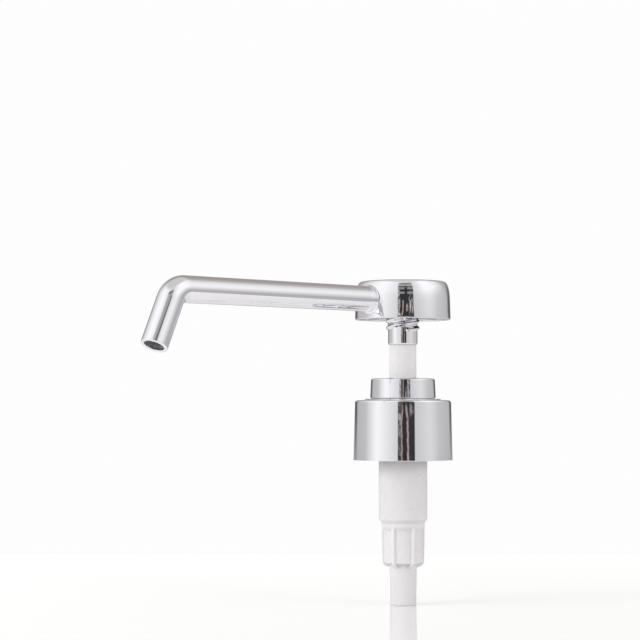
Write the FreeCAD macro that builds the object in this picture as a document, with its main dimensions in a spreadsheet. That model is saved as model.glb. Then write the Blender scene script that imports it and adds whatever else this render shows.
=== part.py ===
import FreeCAD, Part
import math
import operator
import os
from types import SimpleNamespace

import Sketcher

# Screw-on lotion pump: a drum-shaped head with a long bent spout, a white stem, a lock nut,
# a closure collar and a pump housing that hangs in the bottle.
# Millimetres, +Z up. The origin is on the pump's axis in the plane of the bottle's rim,
# which is the underside of the gasket. The spout points along -X.

# Driving sizes: name, value, meaning

SIZES = [
    ("fit_gap", 0.02, "radial gap of two pieces pushed together for good"),
    ("running_gap", 0.05, "radial gap of a shaft that turns or slides in its hole"),
    ("end_gap", 0.15, "axial play between faces that turn against each other"),
    ("pump_travel", 21.0, "way of the head from up to locked down"),
    ("gasket_thickness", 1.5, "gasket between the bottle's rim and the flange"),
    ("gasket_clearance", 1.0, "gasket's edge inside the closure cap's bore"),
    ("flange_thickness", 1.7, "flange that the housing hangs by"),
    ("flange_inset", 0.5, "flange's edge inside the gasket's"),
    ("web_thickness", 1.0, "top web of the closure cap"),
    ("neck_bore_radius", 13.9, "inside of the closure cap, at the roots of its thread"),
    ("cap_wall", 2.2, "wall of the closure cap"),
    ("shell_wall", 0.5, "wall of the plated shells"),
    ("shell_flare", 0.44, "closure shell's foot outside its top"),
    ("shell_depth", 20.65, "height of the closure shell"),
    ("shell_hole_radius", 9.6, "hole in the top of the closure shell"),
    ("cap_recess", 0.6, "closure cap's foot above the shell's foot"),
    ("shell_edge", 0.45, "chamfer of the closure shell's top edge"),
    ("nut_gap", 0.52, "gap between the closure shell and the lock nut"),
    ("nut_height", 6.88, "height of the lock nut's cover"),
    ("nut_wall", 2.16, "wall of the lock nut round the housing's neck"),
    ("nut_flare", 0.32, "foot of the lock nut's cover outside its top"),
    ("nut_edge", 0.35, "chamfer of the cover's top edge"),
    ("nut_recess", 0.25, "lock nut's foot above its cover's foot"),
    ("nut_web", 1.15, "top web of the lock nut"),
    ("thread_room", 0.95, "lock nut's bore at the roots of its thread outside the sleeve"),
    ("cover_hole_land", 0.45, "hole in the top of the lock nut's cover outside that bore"),
    ("lock_bore_depth", 9.85, "depth of that bore below the cover's top"),
    ("guide_depth", 7.8, "foot of the lock nut's skirt below the bottle's rim"),
    ("stem_radius", 4.65, "outside of the stem"),
    ("stem_wall", 1.95, "wall of the stem"),
    ("spigot_step", 0.45, "stem's end in the head's sleeve inside the stem's outside"),
    ("tail_step", 0.55, "stem's end in the piston inside the stem's outside"),
    ("head_rise", 20.25, "rim of the head above the lock nut when up"),
    ("sleeve_drop", 8.55, "sleeve's foot below the head's rim"),
    ("sleeve_wall", 0.9, "outside of the head's sleeve outside the stem's end"),
    ("sleeve_edge", 0.35, "chamfer at the sleeve's foot"),
    ("drum_top_radius", 16.0, "outside of the head at its shoulder"),
    ("drum_flare", 0.55, "head's rim outside its shoulder"),
    ("drum_height", 13.1, "height of the head's side"),
    ("drum_crown", 0.45, "rise of the head's crowned top"),
    ("drum_edge", 1.2, "chamfer of the head's shoulder"),
    ("drum_wall", 1.6, "side wall of the head"),
    ("drum_ceiling", 2.0, "top wall of the head at its shoulder"),
    ("hub_radius", 6.0, "outside of the hub inside the head"),
    ("hub_start", 1.2, "hub's lower end above the rim"),
    ("web_start", 3.2, "stiffening webs' lower edge above the rim"),
    ("head_web_thickness", 1.0, "stiffening webs inside the head"),
    ("head_web_count", 3, "stiffening webs inside the head"),
    ("spigot_rise", 2.1, "stem's upper end above the head's rim"),
    ("chamber_room", 1.3, "room round the outlet ball in its chamber"),
    ("chamber_top", 8.7, "outlet chamber's ceiling above the rim"),
    ("stop_pin_radius", 1.0, "pin that stops the outlet ball"),
    ("outlet_ball_radius", 2.0, "outlet ball"),
    ("outlet_seat_radius", 1.3, "hole under the outlet ball"),
    ("outlet_seat_depth", 1.4, "that hole's edge below the stem's end"),
    ("outlet_seat_web", 1.2, "wall under the outlet seat"),
    ("outlet_lift", 1.2, "lift of the outlet ball"),
    ("channel_radius", 1.9, "channel from the outlet chamber to the spout"),
    ("spout_rise", 6.6, "spout's axis above the head's rim"),
    ("spout_radius", 4.35, "outside of the spout"),
    ("spout_bore_radius", 3.25, "bore of the spout"),
    ("spout_spigot_radius", 3.85, "spout's end in the head"),
    ("spout_seat", 8.6, "spout's inner end from the pump's axis"),
    ("boss_wall", 1.15, "wall round the spout's end in the head"),
    ("neck_length", 1.3, "boss standing out of the head's side"),
    ("spout_reach", 101.2, "pump's axis to the corner of the spout's bend"),
    ("spout_turn", 66.5, "turn of the spout's end, in degrees"),
    ("bend_radius", 6.5, "radius of the bend's centre line"),
    ("tip_length", 16.1, "straight end below the bend"),
    ("tip_edge", 0.25, "chamfer of the spout's lip"),
    ("housing_radius", 8.34, "outside of the housing"),
    ("housing_bore_radius", 7.4, "bore that the piston slides in"),
    ("neck_clearance", 0.05, "housing neck's end under the lock nut's web"),
    ("bead_height", 0.25, "snap bead on the housing's neck"),
    ("bead_level", 7.5, "middle of the snap bead above the bottle's rim"),
    ("bead_length", 0.6, "flat of the snap bead"),
    ("vent_radius", 0.6, "air hole in the housing's wall"),
    ("vent_drop", 2.45, "air hole below the piston's upper end"),
    ("piston_gap", 0.2, "piston under the lock nut's skirt when up"),
    ("piston_length", 4.95, "length of the piston"),
    ("lip_gap", 0.03, "radial gap of the piston's lips in the housing"),
    ("lip_length", 0.85, "length of each piston lip"),
    ("waist_depth", 0.67, "piston's waist inside its lips"),
    ("cup_depth", 1.3, "depth of the piston's cups"),
    ("cup_land", 1.1, "wall of the piston at the stem"),
    ("cup_floor", 0.9, "width of the floor of the piston's cups"),
    ("insert_shank_length", 6.0, "insert's shank in the stem"),
    ("insert_flange_width", 1.3, "flange that holds the piston, outside the stem's end"),
    ("insert_flange_thickness", 0.9, "thickness of that flange"),
    ("insert_boss_length", 1.5, "insert's end inside the spring"),
    ("insert_bore_radius", 1.6, "bore of the insert"),
    ("bottom_clearance", 1.1, "room under the insert when locked down"),
    ("floor_thickness", 2.25, "floor under the housing's bore"),
    ("ring_height", 1.1, "plain ring above the ribs"),
    ("shoulder_height", 1.2, "slope from the housing to that ring"),
    ("ring_radius", 7.4, "outside of that ring and of the ribs' upper ends"),
    ("rib_foot_radius", 7.22, "outside of the ribs at their feet"),
    ("rib_thickness", 1.15, "thickness of each rib"),
    ("rib_count", 6, "ribs round the valve chamber"),
    ("rib_corner_radius", 2.2, "rounding of the ribs' feet"),
    ("rib_turn", 14.4, "turn of the ribs about the axis, in degrees"),
    ("chamber_wall", 1.2, "wall of the valve chamber"),
    ("chamber_radius", 4.9, "bore of the valve chamber, round the spring"),
    ("chamber_depth", 8.5, "spring's seat below the floor of the bore"),
    ("cage_room", 0.9, "room round the inlet ball in its cage"),
    ("cage_depth", 8.0, "inlet seat's hole below the spring's seat"),
    ("inlet_ball_radius", 2.5, "inlet ball"),
    ("inlet_seat_radius", 1.6, "hole under the inlet ball"),
    ("inlet_lift", 1.5, "lift of the inlet ball"),
    ("nub_cover", 0.3, "how far in over the inlet ball the nubs reach"),
    ("nub_height", 0.8, "height of those nubs"),
    ("nub_width", 1.6, "width of those nubs"),
    ("nub_count", 3, "nubs over the inlet ball"),
    ("seat_web", 0.85, "wall under the inlet seat"),
    ("socket_bore_radius", 3.5, "bore of the dip-tube socket"),
    ("socket_wall", 0.95, "wall of the dip-tube socket at its foot"),
    ("socket_flare", 0.21, "root of the dip-tube socket outside its foot"),
    ("socket_depth", 12.0, "depth of that bore"),
    ("ledge_rise", 1.6, "foot of the chamber's wall above the inlet seat's hole"),
    ("rib_rise", 0.2, "ribs' feet above the inlet seat's hole"),
    ("rib_tail_rise", 0.95, "ribs' ends on the socket above the socket's bore"),
    ("wire_radius", 0.4, "wire of the spring"),
    ("spring_room", 0.2, "room round the spring in the valve chamber"),
    ("spring_turns", 7, "turns of the spring"),
]

# Sizes that carry their sheet formula


class Size:
    """A number together with the sheet formula that gives it."""

    def __init__(self, value, formula):
        self.value = value
        self.formula = formula

    def __add__(self, other):
        return joined(self, "+", other)

    def __radd__(self, other):
        return joined(other, "+", self)

    def __sub__(self, other):
        return joined(self, "-", other)

    def __rsub__(self, other):
        return joined(other, "-", self)

    def __mul__(self, other):
        return joined(self, "*", other)

    def __rmul__(self, other):
        return joined(other, "*", self)

    def __truediv__(self, other):
        return joined(self, "/", other)

    def __neg__(self):
        return joined(0, "-", self)


ARITHMETIC = {
    "+": operator.add,
    "-": operator.sub,
    "*": operator.mul,
    "/": operator.truediv,
}


def as_size(number):
    return number if isinstance(number, Size) else Size(float(number), repr(number))


def joined(left, sign, right):
    left = as_size(left)
    right = as_size(right)
    value = ARITHMETIC[sign](left.value, right.value)
    return Size(value, f"({left.formula} {sign} {right.formula})")


def of_degrees(name, angle):
    """sin, cos or tan of a size in degrees."""
    value = getattr(math, name)(math.radians(angle.value))
    return Size(value, f"{name}({angle.formula})")


doc = FreeCAD.newDocument("lotion_pump")
sheet = doc.addObject("Spreadsheet::Sheet", "Sizes")
for row, (name, value, meaning) in enumerate(SIZES, start=1):
    sheet.set(f"A{row}", name)
    sheet.set(f"B{row}", str(value))
    sheet.set(f"C{row}", meaning)
    sheet.setAlias(f"B{row}", name)
doc.recompute()
d = SimpleNamespace(**{name: Size(float(value), f"Sizes.{name}") for name, value, _ in SIZES})

# Levels above the bottle's rim, from the flange up

flange_top = d.gasket_thickness + d.flange_thickness
web_base = flange_top + d.end_gap
web_top = web_base + d.web_thickness
shell_top = web_top + d.shell_wall
shell_foot = shell_top - d.shell_depth
nut_foot = shell_top + d.nut_gap
nut_top = nut_foot + d.nut_height
nut_plate = nut_top - d.shell_wall
neck_top = nut_plate - d.nut_web - d.neck_clearance
rim = nut_top + d.head_rise
sleeve_foot = rim - d.sleeve_drop
shoulder = rim + d.drum_height
spout_level = rim + d.spout_rise
stem_top = rim + d.spigot_rise
outlet_seat = stem_top - d.outlet_seat_depth

# Levels from the lock nut's skirt down

guide_foot = -d.guide_depth
piston_top = guide_foot - d.piston_gap
piston_foot = piston_top - d.piston_length
stem_step = piston_top + d.running_gap
stem_foot = piston_foot - d.running_gap
insert_foot = stem_foot - d.insert_flange_thickness
bore_floor = insert_foot - d.pump_travel - d.bottom_clearance
ring_foot = bore_floor - d.floor_thickness
ring_top = ring_foot + d.ring_height
shoulder_top = ring_top + d.shoulder_height
spring_seat = bore_floor - d.chamber_depth
inlet_seat = spring_seat - d.cage_depth
tube_stop = inlet_seat - d.seat_web
socket_foot = tube_stop - d.socket_depth

# Balls on their conical seats, which slope at 45 degrees

ROOT_TWO = math.sqrt(2)
outlet_ball_level = outlet_seat - d.outlet_seat_radius + d.outlet_ball_radius * ROOT_TWO
inlet_ball_level = inlet_seat - d.inlet_seat_radius + d.inlet_ball_radius * ROOT_TWO

# Outside radii, from what each piece fits over or fits in

stem_bore_radius = d.stem_radius - d.stem_wall
stem_spigot_radius = d.stem_radius - d.spigot_step
stem_tail_radius = d.stem_radius - d.tail_step
sleeve_radius = stem_spigot_radius + d.sleeve_wall
lock_bore_radius = sleeve_radius + d.thread_room
cover_hole_radius = lock_bore_radius + d.cover_hole_land
insert_flange_radius = stem_tail_radius + d.insert_flange_width
spring_radius = d.chamber_radius - d.spring_room - d.wire_radius
outlet_chamber_radius = d.outlet_ball_radius + d.chamber_room
cage_radius = d.inlet_ball_radius + d.cage_room
gasket_radius = d.neck_bore_radius - d.gasket_clearance
flange_radius = gasket_radius - d.flange_inset
cap_radius = d.neck_bore_radius + d.cap_wall
shell_top_radius = cap_radius + d.fit_gap + d.shell_wall
neck_fit_radius = d.housing_radius + d.fit_gap
nut_radius = neck_fit_radius + d.nut_wall
cover_top_radius = nut_radius + d.fit_gap + d.shell_wall
drum_rim_radius = d.drum_top_radius + d.drum_flare
socket_foot_radius = d.socket_bore_radius + d.socket_wall
socket_root_radius = socket_foot_radius + d.socket_flare

# The spout's end in the head

neck_end = drum_rim_radius + d.neck_length
boss_radius = d.spout_spigot_radius + d.boss_wall

# Document helpers


def root_of(size):
    return Size(math.sqrt(size.value), f"sqrt({size.formula})")


def bind(feature, name, size):
    feature.setExpression(name, as_size(size).formula)


def new_body(name):
    body = doc.addObject("PartDesign::Body", name)
    body.Label = name
    return body


def origin_feature(body, role):
    return next(item for item in body.Origin.OriginFeatures if item.Role == role)


def sketch_on(body, name, role):
    sketch = body.newObject("Sketcher::SketchObject", name)
    sketch.AttachmentSupport = [(origin_feature(body, role), "")]
    sketch.MapMode = "FlatFace"
    return sketch


def place_point(sketch, item, end, across, up):
    """Hold one end of a sketch item at a bound place."""
    across = as_size(across)
    up = as_size(up)
    if across.value:
        number = sketch.addConstraint(Sketcher.Constraint("DistanceX", -1, 1, item, end, across.value))
        bind(sketch, f"Constraints[{number}]", across)
    else:
        sketch.addConstraint(Sketcher.Constraint("PointOnObject", item, end, -2))
    number = sketch.addConstraint(Sketcher.Constraint("DistanceY", -1, 1, item, end, up.value))
    bind(sketch, f"Constraints[{number}]", up)


def point(across, up):
    return FreeCAD.Vector(as_size(across).value, as_size(up).value, 0)


def arc_between(start, end, radius):
    """The short arc from start to end with its centre on the left of that way."""
    half = (end - start) / 2
    left = FreeCAD.Vector(-half.y, half.x, 0).normalize()
    centre = start + half + left * math.sqrt(radius**2 - half.Length**2)
    angles = [math.atan2(corner.y - centre.y, corner.x - centre.x) for corner in (start, end)]
    if angles[1] < angles[0]:
        angles[1] += 2 * math.pi
    return Part.ArcOfCircle(Part.Circle(centre, FreeCAD.Vector(0, 0, 1), radius), *angles)


def draw_outline(sketch, corners, closed=True):
    """Lines through the corners. A corner with a third value starts an arc of that radius."""
    count = len(corners) if closed else len(corners) - 1
    for number in range(count):
        across, up, *bend = corners[number]
        start = point(across, up)
        end = point(*corners[(number + 1) % len(corners)][:2])
        if bend:
            item = sketch.addGeometry(arc_between(start, end, bend[0].value), False)
            rule = sketch.addConstraint(Sketcher.Constraint("Radius", item, bend[0].value))
            bind(sketch, f"Constraints[{rule}]", bend[0])
        else:
            item = sketch.addGeometry(Part.LineSegment(start, end), False)
        place_point(sketch, item, 1, across, up)
        if number:
            sketch.addConstraint(Sketcher.Constraint("Coincident", item - 1, 2, item, 1))
    if closed:
        sketch.addConstraint(Sketcher.Constraint("Coincident", count - 1, 2, 0, 1))
    else:
        place_point(sketch, count - 1, 2, *corners[-1][:2])


def draw_circle(sketch, across, up, radius):
    circle = Part.Circle(point(across, up), FreeCAD.Vector(0, 0, 1), radius.value)
    item = sketch.addGeometry(circle, False)
    number = sketch.addConstraint(Sketcher.Constraint("Radius", item, radius.value))
    bind(sketch, f"Constraints[{number}]", radius)
    place_point(sketch, item, 3, across, up)


def turned(body, name, corners, kind="PartDesign::Revolution"):
    """Turn an outline of radii and levels about the pump's axis."""
    sketch = sketch_on(body, name + "_outline", "XZ_Plane")
    draw_outline(sketch, corners)
    feature = body.newObject(kind, name)
    feature.Profile = sketch
    feature.ReferenceAxis = (sketch, ["V_Axis"])
    feature.Angle = 360
    doc.recompute()
    return feature


def extruded(body, name, sketch, length, kind="PartDesign::Pad", side="One side", backwards=False):
    feature = body.newObject(kind, name)
    feature.Profile = sketch
    feature.SideType = side
    feature.Reversed = backwards
    bind(feature, "Length", length)
    doc.recompute()
    return feature


def repeated(body, name, feature, count, angle=360):
    """Copies of a feature round the pump's axis."""
    pattern = body.newObject("PartDesign::PolarPattern", name)
    pattern.Originals = [feature]
    pattern.Axis = (origin_feature(body, "Z_Axis"), [""])
    pattern.Angle = angle
    bind(pattern, "Occurrences", count)
    body.Tip = pattern
    doc.recompute()
    return pattern


def bevelled(body, name, base, size, chosen):
    """Chamfer on the edges of a feature that a test chooses."""
    edges = [f"Edge{number}" for number, edge in enumerate(base.Shape.Edges, start=1) if chosen(edge)]
    if not edges:
        raise RuntimeError(f"{name} found no edge")
    chamfer = body.newObject("PartDesign::Chamfer", name)
    chamfer.Base = (base, edges)
    bind(chamfer, "Size", size)
    doc.recompute()
    return chamfer


NEAR = 0.001


def is_round(edge):
    return not edge.Degenerated and isinstance(edge.Curve, Part.Circle)


def ring_edge(radius, level):
    """Test for the round edge of a radius at a level."""

    def chosen(edge):
        if not is_round(edge):
            return False
        return abs(edge.Curve.Radius - radius.value) < NEAR and abs(edge.Curve.Center.z - level.value) < NEAR

    return chosen


# Head


def build_head():
    body = new_body("actuator_head")
    crown_radius = (d.drum_top_radius * d.drum_top_radius + d.drum_crown * d.drum_crown) / (2 * d.drum_crown)
    hub_foot = rim + d.hub_start
    ceiling = shoulder - d.drum_ceiling
    solid = turned(body, "head_solid", [
        (0, sleeve_foot),
        (sleeve_radius - d.sleeve_edge, sleeve_foot),
        (sleeve_radius, sleeve_foot + d.sleeve_edge),
        (sleeve_radius, hub_foot),
        (d.hub_radius, hub_foot),
        (d.hub_radius, ceiling),
        (d.drum_top_radius - d.drum_wall, ceiling),
        (d.drum_top_radius - d.drum_wall, rim),
        (drum_rim_radius, rim),
        (d.drum_top_radius, shoulder, crown_radius),
        (0, shoulder + d.drum_crown),
    ])
    bevelled(body, "head_edge", solid, d.drum_edge, ring_edge(d.drum_top_radius, shoulder))
    add_head_webs(body, ceiling)
    add_spout_boss(body)
    cut_outlet(body)
    return body


def add_head_webs(body, ceiling):
    """Webs between the hub and the side wall, on the three sides away from the spout."""
    sketch = sketch_on(body, "head_web_outline", "YZ_Plane")
    inner = d.hub_radius - d.drum_wall / 2
    outer = d.drum_top_radius - d.drum_wall / 2
    web_foot = rim + d.web_start
    draw_outline(sketch, [
        (inner, web_foot),
        (outer, web_foot),
        (outer, ceiling + d.drum_ceiling / 2),
        (inner, ceiling + d.drum_ceiling / 2),
    ])
    web = extruded(body, "head_web", sketch, d.head_web_thickness, side="Symmetric")
    pattern = repeated(body, "head_webs", web, d.head_web_count, angle=180)
    pattern.Reversed = True
    doc.recompute()


def add_spout_boss(body):
    """Boss inside the head, and its end that stands out of the head's side."""
    inside = sketch_on(body, "boss_outline", "YZ_Plane")
    draw_circle(inside, 0, spout_level, boss_radius)
    extruded(body, "boss", inside, drum_rim_radius - d.drum_wall, backwards=True)
    outside = sketch_on(body, "neck_outline", "YZ_Plane")
    draw_circle(outside, 0, spout_level, d.spout_radius)
    extruded(body, "neck", outside, neck_end, backwards=True)


def cut_outlet(body):
    """Bore for the stem, chamber over the outlet ball with its stop pin, and the way to the spout."""
    pin_foot = outlet_ball_level + d.outlet_ball_radius + d.outlet_lift + d.running_gap
    ceiling = rim + d.chamber_top
    bore = stem_spigot_radius + d.fit_gap
    turned(body, "outlet_chamber", [
        (0, sleeve_foot - d.drum_wall),
        (bore, sleeve_foot - d.drum_wall),
        (bore, stem_top + d.running_gap),
        (outlet_chamber_radius, stem_top + d.running_gap),
        (outlet_chamber_radius, ceiling),
        (d.stop_pin_radius, ceiling),
        (d.stop_pin_radius, pin_foot),
        (0, pin_foot),
    ], kind="PartDesign::Groove")
    channel = sketch_on(body, "channel_outline", "YZ_Plane")
    draw_circle(channel, 0, spout_level, d.channel_radius)
    extruded(body, "channel", channel, d.spout_seat, kind="PartDesign::Pocket")
    socket = sketch_on(body, "socket_outline", "YZ_Plane")
    bind(socket, "AttachmentOffset.Base.z", d.fit_gap - d.spout_seat)
    draw_circle(socket, 0, spout_level, d.spout_spigot_radius + d.fit_gap)
    extruded(body, "socket", socket, neck_end, kind="PartDesign::Pocket")


# Spout


def build_spout():
    body = new_body("spout_tube")
    half_turn = d.spout_turn / 2
    bend_start = d.spout_reach - d.bend_radius * of_degrees("tan", half_turn)
    turn_sin = of_degrees("sin", d.spout_turn)
    turn_cos = of_degrees("cos", d.spout_turn)
    bend_end = (
        -bend_start - d.bend_radius * turn_sin,
        spout_level - d.bend_radius * (1 - turn_cos),
    )
    tip = (bend_end[0] - d.tip_length * turn_cos, bend_end[1] - d.tip_length * turn_sin)
    path = sketch_on(body, "spout_path", "XZ_Plane")
    draw_outline(path, [
        (-neck_end, spout_level),
        (-bend_start, spout_level, d.bend_radius),
        bend_end,
        tip,
    ], closed=False)
    section = sketch_on(body, "spout_section", "YZ_Plane")
    bind(section, "AttachmentOffset.Base.z", -neck_end)
    draw_circle(section, 0, spout_level, d.spout_radius)
    draw_circle(section, 0, spout_level, d.spout_bore_radius)
    doc.recompute()
    tube = body.newObject("PartDesign::AdditivePipe", "spout_pipe")
    tube.Profile = section
    tube.Spine = (path, ["Edge1", "Edge2", "Edge3"])
    doc.recompute()
    spigot = sketch_on(body, "spigot_section", "YZ_Plane")
    bind(spigot, "AttachmentOffset.Base.z", -neck_end)
    draw_circle(spigot, 0, spout_level, d.spout_spigot_radius)
    draw_circle(spigot, 0, spout_level, d.spout_bore_radius)
    whole = extruded(body, "spigot", spigot, neck_end - d.spout_seat)

    def lip_edge(edge):
        centre = FreeCAD.Vector(tip[0].value, 0, tip[1].value)
        return is_round(edge) and (edge.Curve.Center - centre).Length < NEAR

    bevelled(body, "spout_lip", whole, d.tip_edge, lip_edge)
    return body


# Stem, outlet ball, piston and insert


def build_stem():
    body = new_body("stem")
    turned(body, "stem_solid", [
        (stem_bore_radius, stem_foot),
        (stem_tail_radius, stem_foot),
        (stem_tail_radius, stem_step),
        (d.stem_radius, stem_step),
        (d.stem_radius, sleeve_foot),
        (stem_spigot_radius, sleeve_foot),
        (stem_spigot_radius, stem_top),
        (d.outlet_seat_radius + d.outlet_seat_depth, stem_top),
        (d.outlet_seat_radius, outlet_seat),
        (d.outlet_seat_radius, outlet_seat - d.outlet_seat_web),
        (stem_bore_radius, outlet_seat - d.outlet_seat_web),
    ])
    return body


def build_ball(name, radius, level):
    ball = doc.addObject("Part::Sphere", name)
    ball.Label = name
    bind(ball, "Radius", radius)
    bind(ball, "Placement.Base.z", level)
    return ball


def build_piston():
    """Double cup: two lips that wipe the housing's bore, a narrower waist between them."""
    body = new_body("piston")
    bore = stem_tail_radius + d.running_gap
    lip = d.housing_bore_radius - d.lip_gap
    waist = lip - d.waist_depth
    cup_inner = bore + d.cup_land
    cup_outer = cup_inner + d.cup_floor
    turned(body, "piston_solid", [
        (bore, piston_foot),
        (cup_inner, piston_foot),
        (cup_inner, piston_foot + d.cup_depth),
        (cup_outer, piston_foot + d.cup_depth),
        (cup_outer, piston_foot),
        (lip, piston_foot),
        (lip, piston_foot + d.lip_length),
        (waist, piston_foot + d.lip_length),
        (waist, piston_top - d.lip_length),
        (lip, piston_top - d.lip_length),
        (lip, piston_top),
        (cup_outer, piston_top),
        (cup_outer, piston_top - d.cup_depth),
        (cup_inner, piston_top - d.cup_depth),
        (cup_inner, piston_top),
        (bore, piston_top),
    ])
    return body


def build_insert():
    """Plug in the stem's foot: its flange holds the piston up and takes the spring."""
    body = new_body("piston_insert")
    boss = spring_radius - d.wire_radius - 2 * d.end_gap
    shank = stem_bore_radius - d.fit_gap
    turned(body, "insert_solid", [
        (d.insert_bore_radius, insert_foot - d.insert_boss_length),
        (boss, insert_foot - d.insert_boss_length),
        (boss, insert_foot),
        (insert_flange_radius, insert_foot),
        (insert_flange_radius, stem_foot),
        (shank, stem_foot),
        (shank, stem_foot + d.insert_shank_length),
        (d.insert_bore_radius, stem_foot + d.insert_shank_length),
    ])
    return body


def build_spring():
    """One wire, six-sided in its solid, wound from the valve chamber's ledge to the insert's flange."""
    height = insert_foot - spring_seat - 2 * (d.wire_radius + d.running_gap)
    start = spring_seat + d.wire_radius + d.running_gap
    coil = doc.addObject("Part::Helix", "spring_line")
    bind(coil, "Radius", spring_radius)
    bind(coil, "Height", height)
    bind(coil, "Pitch", height / d.spring_turns)
    wire = doc.addObject("Part::RegularPolygon", "spring_wire")
    wire.Polygon = 6
    bind(wire, "Circumradius", d.wire_radius)
    wire.Placement = FreeCAD.Placement(FreeCAD.Vector(), FreeCAD.Rotation(FreeCAD.Vector(1, 0, 0), 90))
    bind(wire, "Placement.Base.x", spring_radius)
    doc.recompute()
    spring = doc.addObject("Part::Sweep", "return_spring")
    spring.Label = "return_spring"
    spring.Sections = [wire]
    spring.Spine = (coil, ["Edge1"])
    spring.Solid = True
    spring.Frenet = True
    bind(spring, "Placement.Base.z", start)
    return spring


# Lock nut, closure and gasket


def build_lock_nut():
    """Nut that snaps on the housing's neck, guides the stem and takes the sleeve's lock thread."""
    body = new_body("lock_nut")
    guide = d.stem_radius + d.running_gap
    skirt = d.housing_bore_radius - d.fit_gap
    foot = nut_foot + d.nut_recess
    bore_foot = nut_top - d.lock_bore_depth
    turned(body, "nut_solid", [
        (guide, guide_foot),
        (skirt, guide_foot),
        (skirt, nut_plate - d.nut_web),
        (neck_fit_radius, nut_plate - d.nut_web),
        *[(radius + d.fit_gap, level) for radius, level in reversed(bead_corners())],
        (neck_fit_radius, foot),
        (nut_radius, foot),
        (nut_radius, nut_plate),
        (lock_bore_radius, nut_plate),
        (lock_bore_radius, bore_foot),
        (guide, bore_foot),
    ])
    return body


def bead_corners():
    """Snap bead on the housing's neck, from below."""
    outside = d.housing_radius + d.bead_height
    half = d.bead_length / 2
    return [
        (d.housing_radius, d.bead_level - half - d.bead_height),
        (outside, d.bead_level - half),
        (outside, d.bead_level + half),
        (d.housing_radius, d.bead_level + half + d.bead_height),
    ]


def build_shell(name, hole, top, foot, edge):
    """Thin plated cup, open below, with a round hole in its top and a draft on its outside."""
    body = new_body(name)
    plate = top[1] - d.shell_wall
    inside = top[0] - d.shell_wall
    solid = turned(body, name + "_solid", [
        (hole, plate),
        (inside, plate),
        (inside, foot[1]),
        foot,
        top,
        (hole, top[1]),
    ])
    bevelled(body, name + "_edge", solid, edge, ring_edge(*top))
    return body


def build_lock_nut_cover():
    top = (cover_top_radius, nut_top)
    foot = (cover_top_radius + d.nut_flare, nut_foot)
    return build_shell("lock_nut_cover", cover_hole_radius, top, foot, d.nut_edge)


def build_closure_shell():
    top = (shell_top_radius, shell_top)
    foot = (shell_top_radius + d.shell_flare, shell_foot)
    return build_shell("closure_shell", d.shell_hole_radius, top, foot, d.shell_edge)


def build_closure_cap():
    """Cap inside the closure shell. It turns under the lock nut, on the housing's neck."""
    body = new_body("closure_cap")
    hole = d.housing_radius + d.running_gap
    cap_foot = shell_foot + d.cap_recess
    turned(body, "cap_solid", [
        (hole, web_base),
        (d.neck_bore_radius, web_base),
        (d.neck_bore_radius, cap_foot),
        (cap_radius, cap_foot),
        (cap_radius, web_top),
        (hole, web_top),
    ])
    return body


def build_gasket():
    ring = doc.addObject("Part::Cylinder", "gasket_disc")
    bind(ring, "Radius", gasket_radius)
    bind(ring, "Height", d.gasket_thickness)
    hole = doc.addObject("Part::Cylinder", "gasket_hole")
    bind(hole, "Radius", neck_fit_radius)
    bind(hole, "Height", d.gasket_thickness)
    gasket = doc.addObject("Part::Cut", "bottle_gasket")
    gasket.Label = "bottle_gasket"
    gasket.Base = ring
    gasket.Tool = hole
    return gasket


# Housing and inlet ball


def build_housing():
    """Cylinder with its flange and neck, ribbed valve chamber and dip-tube socket."""
    body = new_body("pump_housing")
    chamber_side = d.chamber_radius + d.chamber_wall
    ledge = inlet_seat + d.ledge_rise
    cone_top = inlet_seat + cage_radius - d.inlet_seat_radius
    turned(body, "housing_solid", [
        (d.socket_bore_radius, socket_foot),
        (socket_foot_radius, socket_foot),
        (socket_root_radius, ledge),
        (chamber_side, ledge),
        (chamber_side, ring_foot),
        (d.ring_radius, ring_foot),
        (d.ring_radius, ring_top),
        (d.housing_radius, shoulder_top),
        (d.housing_radius, d.gasket_thickness),
        (flange_radius, d.gasket_thickness),
        (flange_radius, flange_top),
        (d.housing_radius, flange_top),
        *bead_corners(),
        (d.housing_radius, neck_top),
        (d.housing_bore_radius, neck_top),
        (d.housing_bore_radius, bore_floor),
        (d.chamber_radius, bore_floor),
        (d.chamber_radius, spring_seat),
        (cage_radius, spring_seat),
        (cage_radius, cone_top),
        (d.inlet_seat_radius, inlet_seat),
        (d.inlet_seat_radius, tube_stop),
        (d.socket_bore_radius, tube_stop),
    ])
    add_chamber_ribs(body)
    add_ball_nubs(body)
    cut_air_holes(body)
    bind(body, "Placement.Rotation.Angle", d.rib_turn)
    return body


def add_chamber_ribs(body):
    """Ribs down the valve chamber that run in to the dip-tube socket."""
    sketch = sketch_on(body, "rib_outline", "XZ_Plane")
    rib_foot = inlet_seat + d.rib_rise
    tail = tube_stop + d.rib_tail_rise
    root = d.chamber_radius + d.chamber_wall / 2
    rib_end = socket_root_radius - d.chamber_wall / 4
    draw_outline(sketch, [
        (rib_end, tail),
        (socket_root_radius, tail),
        (d.rib_foot_radius - d.rib_corner_radius, rib_foot, d.rib_corner_radius),
        (d.rib_foot_radius, rib_foot + d.rib_corner_radius),
        (d.ring_radius, ring_foot),
        (root, ring_foot),
        (root, rib_foot + d.rib_corner_radius),
        (rib_end, rib_foot + d.rib_corner_radius / 2),
    ])
    rib = extruded(body, "rib", sketch, d.rib_thickness, side="Symmetric")
    repeated(body, "ribs", rib, d.rib_count)


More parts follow.
